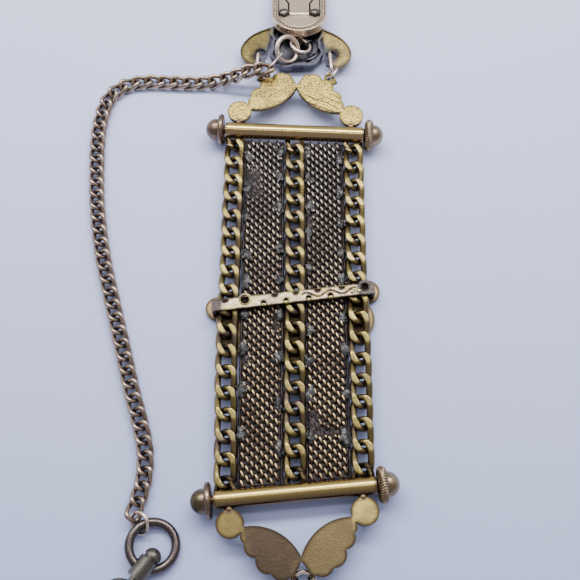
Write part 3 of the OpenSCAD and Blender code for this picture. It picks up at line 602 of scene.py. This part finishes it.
def ornament_material():
    """Yellow brass lobes and rim round a hollow that is tarnished blue-black."""
    material, tree = start_material("ornament brass")
    lobes = aged_metal(tree, (0.40, 0.31, 0.10), (0.13, 0.095, 0.05), (0.03, 0.024, 0.02),
                       patch_scale=480.0, patch_amount=0.75, speckle_scale=1900.0, speckle_amount=0.6,
                       dirt_reach=0.0009, edge_reach=0.0005, edge_amount=0.8, smooth=0.24, rough=0.34)
    hollow = aged_metal(tree, (0.105, 0.105, 0.13), (0.045, 0.045, 0.056), (0.014, 0.014, 0.018),
                        patch_scale=420.0, patch_amount=0.7, dirt_reach=0.002, smooth=0.28, rough=0.5)
    place = split(tree, own_place(tree))
    x, y = place["X"], place["Y"]
    left, right, top, bottom, hole_aside, hole_y = -4.0, 4.0, 50.4, 46.4, 6.7, 47.3
    dim, light, black = (0.72, 0.72, 0.72), (1.25, 1.25, 1.3), (0.032, 0.028, 0.028)
    ragged = clouds(tree, 500.0, 3.0)
    across = maths(tree, "ABSOLUTE", maths(tree, "SUBTRACT", x, (ORNAMENT[0] + PLACE[0]) * MM))
    wider = ranged(tree, y, (top + PLACE[1]) * MM, (bottom + PLACE[1]) * MM, 0.0, 0.0022)
    reach = maths(tree, "ADD", across, times(tree, ragged, 0.0018))
    on_lobes = ranged(tree, maths(tree, "SUBTRACT", reach, wider), 0.0052, 0.0066)
    aside = maths(tree, "SUBTRACT", across, hole_aside * MM)
    above = maths(tree, "SUBTRACT", y, (hole_y + PLACE[1]) * MM)
    from_hole = maths(tree, "ADD", distance(tree, aside, above), times(tree, ragged, 0.0012))
    to_right = ranged(tree, x, (left + PLACE[0]) * MM, (right + PLACE[0]) * MM)
    colour = mixed(tree, 1.0, lobes["Color"], mixed(tree, to_right, dim, light), "MULTIPLY")
    colour = mixed(tree, ranged(tree, from_hole, 0.0018, 0.0030), black, colour)
    colour = mixed(tree, on_lobes, hollow["Color"], colour)
    rough = mixed(tree, on_lobes, hollow["Roughness"], lobes["Roughness"])
    finish_metal(tree, colour, rough, lobes["Height"], 0.4)
    return material


def floor_material():
    """Pale surface, bluer and darker near the camera, a painted fall of light from the far side."""
    material, tree = start_material("pale floor")
    far = split(tree, own_place(tree))["Y"]
    reach = maths(tree, "ADD", far, times(tree, clouds(tree, 25.0, 3.0), 0.02))
    # Painted light: the floor grows brighter away from the camera
    colour = mixed(tree, ranged(tree, reach, -0.06, 0.08), (0.44, 0.495, 0.78), (0.665, 0.715, 1.0))
    shader = node(tree, "ShaderNodeBsdfPrincipled", {"Base Color": colour, "Roughness": 0.9})
    node(tree, "ShaderNodeOutputMaterial", {"Surface": shader.outputs[0]})
    return material


# Chains

def link_line(half_width, half_length, twist, squareness, steps=44):
    """Centre line of a curb link. A low squareness gives it fuller corners."""
    a = 2 * math.pi * (np.arange(steps) + 0.5) / steps
    x = half_width * np.sign(np.cos(a)) * np.abs(np.cos(a)) ** squareness
    y = half_length * np.sign(np.sin(a)) * np.abs(np.sin(a)) ** squareness
    return line_of(x, y, twist * x * y)


def chain(name, source, link_width, wire_d, twist, squareness, material,
          flat=None, uneven=0.0, lift=0.0):
    """A curb chain with a smooth link in the place of each link of its CAD node, lifted a little.
    uneven is the most degrees that a link is rolled out of its place."""
    overlap = 0.15
    places = solids(source)
    centres = [(p.max(0) + p.min(0)) / 2 for p in places]
    spans = [min(np.linalg.norm(c - d) for d in centres if d is not c) for c in centres]
    step = float(np.median(spans))
    line = link_line((link_width - wire_d) / 2, (step + wire_d) / 2 + overlap, twist, squareness)
    link, faces = wire(line, wire_d / 2, 14, flat=flat)
    parts = []
    for points in places:
        centre = points.mean(0)
        axes = np.linalg.eigh(np.cov((points - centre).T))[1]
        along, across = axes[:, 2], axes[:, 1]
        turn = np.stack([across, along, np.cross(across, along)], axis=1)
        roll = np.radians(rng.uniform(-uneven, uneven, 3))
        rolled = link + np.cross(np.broadcast_to(roll, link.shape), link)
        parts.append((rolled @ turn.T + centre + np.array([0, 0, lift]), faces))
    piece(name, joined(parts), "fob", [material], [source], crease=34)


# Woven bands

# Pitch of a coil, distance of the rows, half height and half thickness of a coil, radius of its
# wire, and how much of the pitch its upper half takes
WEAVE = {"pitch": 1.50, "row": 0.71, "half": 0.76, "thick": 0.38, "wire": 0.20, "upper": 0.54}

# Places where the weave is crushed low and shows black under the painted shade of low wire: middle x and
# y, half width and half length
CRUSHED = ((5.2, -24.8, 4.0, 0.7), (-7.4, 20.0, 1.7, 3.6), (-8.3, -12.8, 1.0, 1.5),
           (2.8, -23.3, 1.2, 2.2), (2.5, 13.0, 0.7, 3.5), (-3.2, -7.0, 0.5, 2.0))

# Distance from one cluster of solder to the next
SOLDER_WAY = 6.35


def band_ends(x, margin=0.0):
    """Where a band starts and ends between the tubes, at a place across the strap."""
    low, high = (bar["y"] + x * math.tan(math.radians(bar["lean"])) + side * (TUBE_R + 0.05)
                 for bar, side in ((LOWER_BAR, 1), (UPPER_BAR, -1)))
    return low + margin, high - margin


def crushed(x, y):
    """How flat the weave is pressed at a place, from 0 to 1."""
    depths = [np.exp(-((x - px) / wide) ** 4 - ((y - py) / long) ** 4) for px, py, wide, long in CRUSHED]
    return np.max(depths, axis=0)


def woven_band(name, source, middle, width):
    """Flattened coils hooked into each other, row by row, with tarnish, painted shade and solder along
    both edges, and a dark sheet of painted shade within the weave.
    """
    turns, steps = 5, 16
    pitch, tall, upper = WEAVE["pitch"], WEAVE["half"], WEAVE["upper"]
    half = width / 2 - 0.2
    low, high = band_ends(middle)
    rows = int((high - low - 2 * tall) / WEAVE["row"])
    step = (high - low - 2 * tall) / rows
    coils = []
    for row in range(rows + 1):
        t = row / rows
        lean = math.tan(math.radians(LOWER_BAR["lean"] * (1 - t) + UPPER_BAR["lean"] * t))
        turn = np.arange(-turns * steps, turns * steps + 1) / steps + row / 2 + 0.03 * rng.randn()
        part = turn - np.floor(turn)
        over = part < 0.5
        x = pitch * (turn - part - row / 2) + np.where(
            over, upper * 2 * part, upper + (pitch - upper) * (2 * part - 1))
        coil_y = tall * np.where(over, 1 - 4 * part, 4 * part - 3)
        rise = np.sin(2 * math.pi * part)
        coil_z = WEAVE["thick"] * np.sign(rise) * np.abs(rise) ** 0.38
        coil_y = (np.roll(coil_y, 1) + 2 * coil_y + np.roll(coil_y, -1)) / 4
        kept = np.abs(x) < half
        x, coil_y, coil_z = x[kept], coil_y[kept], coil_z[kept]
        y = low + tall + row * step + x * lean + coil_y + rng.uniform(-0.03, 0.03)
        coil_z = coil_z * np.where(coil_z > 0, 1 - 1.15 * crushed(x + middle, y), 1)
        z = STRAP_Z + coil_z + 0.03 * np.sin(1.3 * x + 0.7 * row)
        coils.append(wire(line_of(x + middle, y, z), WEAVE["wire"], 6, closed=False, up=(1, 0, 0)))
    sides = [(side * width / 2, side) for side in (-1, 1)]
    edges = joined([band_side(middle, *lie) for lie in sides] + [band_core(middle, half)])
    lumps = joined([solder_lumps(middle, *lie) for lie in sides])
    shapes = [joined(coils), edges, lumps]
    made = piece(name, joined(shapes), "fob",
                 ["weave", "tarnish", "solder"], [source], crease=60)
    colour_shapes(made, shapes)


def band_side(middle, offset, side):
    """Dark wires that close one edge of a band, tarnish together with painted shade between band and
    chain, with smears that spread over the weave.
    """
    x = middle + offset
    low, high = band_ends(x, 0.1)
    ys = np.linspace(low, high, 170)
    wave = np.array([noise.noise(Vector((x, y * 0.9, 0))) for y in ys])
    fine = np.array([noise.noise(Vector((x, y * 3.1, 5))) for y in ys])
    parts = []
    for inward, drop, r in ((-0.10, 0.35, 0.25), (0.36, 0.02, 0.15)):
        line = line_of(x - side * (inward + 0.12 * wave), ys, STRAP_Z - drop + 0.1 * fine)
        parts.append(wire(line, r + 0.10 * wave + 0.07 * fine, 8, closed=False))
    return joined(parts)


def band_core(middle, half):
    """A dark sheet of painted shade that fills the band between its upper and lower wires."""
    columns, rows, thickness = 9, 90, 0.12
    points = []
    for i in range(rows + 1):
        top = []
        for k in range(columns + 1):
            x = middle + half * (2 * k / columns - 1)
            low, high = band_ends(x, 0.35)
            y = low + (high - low) * i / rows
            top.append([x, y, STRAP_Z + 0.04 + 0.05 * noise.noise(Vector((x, y, middle)))])
        points += [[x, y, z - thickness] for x, y, z in top] + top[::-1]
    sides = 2 * (columns + 1)
    return np.array(points), grid_faces(rows + 1, sides, False) + end_faces(len(points), sides)


def solder_lumps(middle, offset, side):
    """Grains of solder in clusters where a chain was fixed to a band, each on a dark smear."""
    x = middle + offset
    low, high = band_ends(x)
    parts = []
    y = high - rng.uniform(2.0, 5.0)
    while y > low + 2:
        middle_x = x - side * rng.uniform(0.25, 0.6)
        smear = [rng.uniform(0.55, 0.85), rng.uniform(0.8, 1.5), 0.34]
        parts.append(lump([middle_x, y, STRAP_Z + 0.32], smear, 0.9, y))
        for k in range(9):
            place = [middle_x + rng.uniform(-0.75, 0.75), y + rng.uniform(-0.95, 0.95), STRAP_Z + 0.5]
            size = rng.uniform(0.12, 0.34)
            parts.append(lump(place, [size, size * 1.1, size * 0.8], 1.1, 3 * k + y, detail=1))
        y -= SOLDER_WAY * rng.uniform(0.8, 1.2)
    return joined(parts)


# Finials with rope collars

def rope_collar(name, source, bar):
    """Ball, neck and collar wound of thin strands, for the right end of a bar."""
    ball_x, ball_r, neck_x, neck_r = 14.1, 1.95, 10.4, 0.55
    collar_x, collar_t, collar_r = 12.75, 1.3, 2.85
    strands, around, over = 40, 320, 20
    theta = 2 * math.pi * np.arange(around) / around
    phi = 2 * math.pi * np.arange(over) / over
    t, p = np.meshgrid(theta, phi, indexing="ij")
    groove = 0.15 * np.abs(np.sin(strands * t / 2 + 0.35 * p)) - 0.09
    minor = collar_t / 2 + groove
    reach = collar_r - collar_t / 2 - 0.06 + minor * np.cos(p)
    x = collar_x + collar_t / 2 + minor * np.sin(p)
    rope = np.stack([x, reach * np.cos(t), reach * np.sin(t)], axis=-1)
    parts = [(rope.reshape(-1, 3), grid_faces(around, over, True))]
    for r, start, end in ((neck_r, neck_x, collar_x),
                          (collar_r - collar_t + 0.2, collar_x + 0.15, collar_x + collar_t - 0.1)):
        parts.append(wire(line_of(np.linspace(start, end, 3), 0, 0), r, 40, closed=False))
    parts.append(lump([ball_x, 0, 0], [ball_r] * 3, 0.0, 0, detail=5))
    points, faces = joined(parts)
    points = turned_about_z(points, bar["lean"]) + np.array([0, bar["y"], BAR_Z])
    piece(name, (points, faces), "fob", ["rope"], [source], crease=50)


# Thick jump rings at the clip

def round_line(radius):
    """Centre line of a round ring that lies flat."""
    return ring_line(0, 0, radius, 0, steps=64)


def oval_line(half_length, half_width, steps=64):
    """Centre line of an oval ring that stands on its side, long way along y."""
    straight = half_length - half_width
    a = 2 * math.pi * (np.arange(steps) + 0.5) / steps
    return line_of(0, straight * np.sign(np.sin(a)) + half_width * np.sin(a), -half_width * np.cos(a))


def jump_ring(name, source, place, turn, line, wire_r):
    """A ring laid as its CAD node is, of a thicker wire."""
    turned = np.array(Euler([math.radians(v) for v in turn]).to_matrix())
    points, faces = wire(line, wire_r, 20, up=unit(np.cross(line[0], line[9])))
    piece(name, (points @ turned.T + place, faces), "fob", ["ring"], [source])


# Ripples in the hollow of the ornament

def ornament_ripples():
    """Folds of the stamped sheet, seen from behind, on the floor of the hollow."""
    steps = 36
    parts = []
    folds = [
        (0.2, -0.5, 3.3, 200, 345, 1.35), (0.5, -0.9, 3.2, 212, 332, 1.35),
        (1.6, 0.4, 2.6, 250, 380, 1.45), (-2.2, -0.6, 1.9, 170, 300, 1.4), (-1.2, 2.4, 2.0, 30, 170, 1.2),
    ]
    for x, y, r, start, end, z in folds:
        a = np.radians(np.linspace(start, end, steps))
        line = line_of(x + r * np.cos(a), y + r * 0.85 * np.sin(a), z - 0.15)
        taper = 0.1 + 0.34 * np.sin(np.linspace(0.15, math.pi - 0.15, steps))
        line = turned_about_z(line, -2.5) + np.array([*ORNAMENT, 0])
        parts.append(wire(line, taper, 12, closed=False))
    piece("ornament_folds", joined(parts), "fob", ["ornament"], crease=60)


# Slide trim

def cup(u, v, r, z, depth, steps=32):
    """A shallow cup that closes a hole from below."""
    rows = [ring_line(u, v, share * r, z - down * depth, steps=steps)
            for share, down in ((1.0, 0.0), (1.0, 0.5), (0.86, 0.9), (0.5, 1.0), (0.05, 1.0))]
    return np.concatenate(rows), grid_faces(len(rows), steps, False)


def slide_trim():
    """Burrs round the punched holes, domes on the lower edge and the wavy ridge on the strip, with dark
    painted shade in the holes and notches, beside the domes and beside the ridge.
    """
    holes = ((-8.05, 0.4, 0.7), (12.05, 0.35, 0.55))
    bites, bite_v, bite_r = (-11.3, -3.0, 0.5, 4.2, 8.25), 0.86, 0.56
    caps, beads = (-5.0, -1.3, 2.5, 6.15), (9.9, 11.0)
    top = SLIDE["top"]
    # The dark parts are painted shade: cups and rings in the holes, fills in the notches, cups beside the
    # domes and a line beside the ridge
    bright, dark, domes = [], [], []
    for u, v, r in holes:
        bright.append(wire(ring_line(u, v, r + 0.14, top), 0.13, 8))
        dark.append(cup(u, v, r + 0.02, top - 0.02, 0.36))
        dark.append(wire(ring_line(u, v, r * 0.62, top - 0.24), 0.09, 8))
    for u in bites:
        burr = ring_line(u, bite_v, bite_r + 0.04, top - 0.02, 184, 356, 20)
        bright.append(wire(burr, 0.10, 8, closed=False))
        dark.append((ring_line(u, bite_v, bite_r, top + 0.015, 180, 360, 17), [tuple(range(17))]))
    for u in caps:
        dark.append(cup(u, -0.42, 0.52, top + 0.012, 0.3))
        domes.append(lump([u, -0.80, top - 0.10], [0.52, 0.36, 0.32], 0.15, u))
    for u in beads:
        domes.append(lump([u, -0.2, top - 0.05], [0.42, 0.36, 0.18], 0.4, u))
    us = np.linspace(1.4, 10.6, 90)
    wave = 0.42 * np.cos(2 * math.pi * (us - 4.2) / 4.0)
    for kind, v, z, r, sides in ((bright, 0.12, top, 0.10, 8), (dark, -0.10, top - 0.02, 0.07, 6)):
        kind.append(wire(line_of(us, v - wave, z), r, sides, closed=False))
    us = np.linspace(-13.3, 11.6, 120)
    for side in (-1, 1):
        wave = np.array([0.05 * noise.noise(Vector((u * 1.1, side, 3))) for u in us])
        bright.append(wire(line_of(us, side * 0.93 + wave, top - 0.05), 0.10, 8, closed=False))
    shapes = [joined(parts) for parts in (bright, dark, domes)]
    points, faces = joined(shapes)
    points = turned_about_z(points, SLIDE["lean"]) + np.array([SLIDE["x"], SLIDE["y"], 0])
    made = piece("slide_trim", (points, faces), "slide",
                 ["strip", "shadow", "dome"], crease=60)
    colour_shapes(made, shapes)


# Clip trim

# Place and tilt of the clip's lower end, its size, and how far from that end its hinge lies
CLIP = {"x": 0.98, "y": 50.2, "z": 3.6, "tilt": math.asin(3.55 / 20),
        "width": 10.5, "length": 20.0, "hinge": 5.4}


def on_clip(points):
    """Points of the clip's own frame, in the strap's frame."""
    points = np.asarray(points, float)
    c, s = math.cos(CLIP["tilt"]), math.sin(CLIP["tilt"])
    x, y, z = points[..., 0], points[..., 1], points[..., 2]
    return np.stack([CLIP["x"] + x, CLIP["y"] + y * c + z * s, CLIP["z"] - y * s + z * c], axis=-1)


def clip_piece(name, parts, material, body="fob", crease=40):
    """A piece of parts in the clip's own frame."""
    points, faces = joined(parts)
    piece(name, (on_clip(points), faces), body, [material], crease=crease)


def clip_path(inset, step):
    """Evenly spaced places round the clip's outline, each with the angle that it faces."""
    r = CLIP["width"] / 2 - inset
    low, high = CLIP["width"] / 2, CLIP["length"] - CLIP["width"] / 2
    straight = CLIP["length"] - CLIP["width"]
    total = 2 * straight + 2 * math.pi * r
    found = []
    for i in range(int(total / step)):
        s = i * step
        if s < straight:
            found.append((r, low + s, 0.0))
        elif s < straight + math.pi * r:
            a = (s - straight) / r
            found.append((r * math.cos(a), high + r * math.sin(a), a))
        elif s < 2 * straight + math.pi * r:
            found.append((-r, high - (s - straight - math.pi * r), math.pi))
        else:
            a = math.pi + (s - 2 * straight - math.pi * r) / r
            found.append((r * math.cos(a), low + r * math.sin(a), a))
    return found


def clip_rim(inset, z, r, sides):
    """A wire round the clip, inset from its outline."""
    return wire(np.array([(x, y, z) for x, y, _ in clip_path(inset, 0.25)]), r, sides)


def milled_border():
    """Rows of short ribs in the clip's channel and round its outer wall."""
    parts, pitch = [], 0.42
    for inset, size, z in ((0.63, [0.30, 0.13, 0.22], 1.48), (0.10, [0.16, 0.14, 0.50], 0.92)):
        for x, y, angle in clip_path(inset, pitch):
            points, faces = lump([0, 0, 0], size, 0.0, 0, detail=1)
            parts.append((turned_about_z(points, math.degrees(angle)) + np.array([x, y, z]), faces))
    clip_piece("clip_milled_border", parts, "clip", crease=80)


def tongue_line(gap):
    """Outline of the clip's tongue with a gap round it: neck, shoulders, long belly and rounded top."""
    neck, belly, belly_start, belly_end = 1.95 + gap, 2.55 + gap, 9.9, 13.05
    shoulder = belly_start - math.sqrt(belly ** 2 - neck ** 2)
    start = math.asin(-(belly_start - shoulder) / belly)
    low, high = np.linspace(start, 0, 12)[1:], np.linspace(0, math.pi / 2, 14)[1:]
    half = [(neck, y) for y in np.linspace(CLIP["hinge"] + 0.7, shoulder, 12)]
    half += [(belly * math.cos(a), belly_start + belly * math.sin(a)) for a in low]
    half += [(belly, y) for y in np.linspace(belly_start, belly_end, 8)[1:]]
    half += [(belly * math.cos(a), belly_end + belly * math.sin(a)) for a in high]
    left = [(-x, y) for x, y in reversed(half[:-1])]
    return np.array([(x, y, 0.0) for x, y in half + left])


def clip_trim():
    """Painted shadow in the grooves, rolled rims round the milled channel, and the hinge's rounded parts.
    """
    # Dark wires of painted shadow in the tongue's gap and in two grooves round the rim
    clip_piece("clip_tongue_groove", [
        wire(tongue_line(0.08) + np.array([0, 0, 1.22]), 0.2, 8, closed=False),
        clip_rim(1.26, 1.30, 0.13, 8), clip_rim(0.63, 1.42, 0.16, 8)], "shadow")
    rims = ((0.17, 1.56, 0.15), (0.13, 0.40, 0.18), (1.08, 1.58, 0.11))
    clip_piece("clip_rims", [clip_rim(inset, z, r, 10) for inset, z, r in rims], "pin")
    clip_piece("hinge_knuckles", [
        lump([side * 2.95, CLIP["hinge"] - 0.1, 1.30], [1.14, 1.0, 0.82], 0.12, side, detail=3)
        for side in (-1, 1)], "swivel")
    points, faces = wire(line_of(np.linspace(-1.8, 1.8, 13), 0, 0), 0.56, 36, closed=False, flat=0.50)
    points = points * np.array([1, 1.45, 1]) + np.array([0, CLIP["hinge"], 1.12])
    clip_piece("hinge_roll", [(points, faces)], "pin", body="tongue")


# Room, lights and camera

def soft_light(name, place, target, size, power, colour):
    """A rectangular lamp that faces its target."""
    data = bpy.data.lights.new(name, "AREA")
    data.shape = "RECTANGLE"
    data.size, data.size_y = size
    data.energy = power
    data.color = colour
    light = bpy.data.objects.new(name, data)
    bpy.context.scene.collection.objects.link(light)
    light.location = place
    way = Vector(target) - light.location
    light.rotation_euler = way.to_track_quat("-Z", "Y").to_euler()


def studio():
    """A softbox low over the clip's side, a narrow light over the slide, and a room that is
    bright like a window on the clip's side and dim behind the camera."""
    soft_light("softbox", place=(0.012, 0.105, 0.21), target=(0.012, 0.02, 0.0), size=(0.34, 0.05),
               power=0.89, colour=(1.0, 0.99, 0.97))
    soft_light("strip light", place=(0.012, 0.0, 0.20), target=(0.012, 0.0, 0.0), size=(0.34, 0.012),
               power=0.12, colour=(1.0, 0.98, 0.95))
    dim, window = (0.41, 0.41, 0.45), (1.20, 1.24, 1.40)
    world = bpy.data.worlds.new("room")
    bpy.context.scene.world = world
    world.use_nodes = True
    tree = world.node_tree
    way = split(tree, node(tree, "ShaderNodeTexCoord").outputs["Generated"])["Y"]
    light = times(tree, ranged(tree, way, -0.05, 0.5), ranged(tree, way, 0.62, 0.95, 1.0, 0.3))
    back = tree.nodes["Background"]
    feed(tree, back.inputs["Color"], mixed(tree, light, dim, window))
    back.inputs["Strength"].default_value = 1.0


def floor():
    """The surface that the fob lies on."""
    size = 1.5
    corners = [(-size, -size, 0), (size, -size, 0), (size, size, 0), (-size, size, 0)]
    mesh = bpy.data.meshes.new("floor")
    mesh.from_pydata(corners, [], [(0, 1, 2, 3)])
    mesh.materials.append(floor_material())
    made = bpy.data.objects.new("floor", mesh)
    bpy.context.scene.collection.objects.link(made)


def camera():
    """The photograph's view: 67.8 degrees up, 143.2 mm from the middle of the picture."""
    elevation, away, middle_x = math.radians(67.8), 0.1432, -0.8
    focal_pixels, photo_pixels = 838.0, 580.0
    data = bpy.data.cameras.new("camera")
    data.sensor_width = 36.0
    data.lens = data.sensor_width * focal_pixels / photo_pixels
    data.clip_start = 0.005
    made = bpy.data.objects.new("camera", data)
    bpy.context.scene.collection.objects.link(made)
    target = Vector(((middle_x + PLACE[0]) * MM, PLACE[1] * MM, 0))
    made.location = target + away * Vector((0, -math.cos(elevation), math.sin(elevation)))
    made.rotation_euler = (math.radians(90) - elevation, 0, 0)
    bpy.context.scene.camera = made


MATERIALS = make_materials()
camera()
studio()
floor()

# The CAD nodes that show, by their material
DRESSED = {
    "upper_bar": ["upper_bar"], "lower_bar": ["lower_bar"], "finial": ["upper_left_finial"],
    "lower_finial": ["lower_left_finial"], "strip": ["slide_strip"], "slide": ["slide_front"],
    "ornament": ["ornament"], "ring": ["small_ring", "swivel_link", "bottom_ring"],
    "swivel": ["swivel_ring"], "clip": ["clip_plate", "clip_tongue"], "hook": ["swivel_hook"],
}
for material, names in DRESSED.items():
    for name in names:
        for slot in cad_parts[name].material_slots:
            slot.material = MATERIALS[material]

for side in ("left", "middle", "right"):
    chain(side + "_strap_chain", side + "_chain", link_width=3.72, wire_d=1.10, twist=0.32,
          squareness=0.8, material="links", flat=0.89, uneven=2.5)
chain("long_safety_chain", "safety_chain", link_width=2.80, wire_d=0.76, twist=0.5,
      squareness=0.7, material="small_links", lift=0.08)
woven_band("left_woven_band", "left_mesh", middle=-5.45, width=6.5)
woven_band("right_woven_band", "right_mesh", middle=5.2, width=6.4)
rope_collar("upper_rope_finial", "upper_right_finial", UPPER_BAR)
rope_collar("lower_rope_finial", "lower_right_finial", LOWER_BAR)

# Place, turn, centre line and wire radius of each jump ring
RINGS = {
    "clip_ring": ([1.23, 48.9, 2.83], [-6.3, 17.4, 10.8], round_line(1.75), 0.41),
    "chain_ring": ([-1.25, 47.37, 3.67], [42.9, 16.2, 29.8], round_line(2.3), 0.43),
    "left_wing_ring": ([-6.41, 42.78, 2.54], [-42.3, -40.4, -66.2], round_line(1.5), 0.26),
    "right_wing_ring": ([6.87, 42.68, 2.58], [-33.1, -45.4, 16.7], round_line(1.5), 0.26),
    "left_plate_ring": ([-6.93, 45.29, 1.89], [3.4, 1.8, -4.2], oval_line(2.2, 0.95), 0.36),
    "right_plate_ring": ([6.89, 45.44, 1.97], [1.1, -4.4, 4.6], oval_line(2.2, 0.95), 0.36),
}
for source, lie in RINGS.items():
    jump_ring("thick_" + source, source, *lie)
milled_border()
ornament_ripples()
clip_trim()
slide_trim()
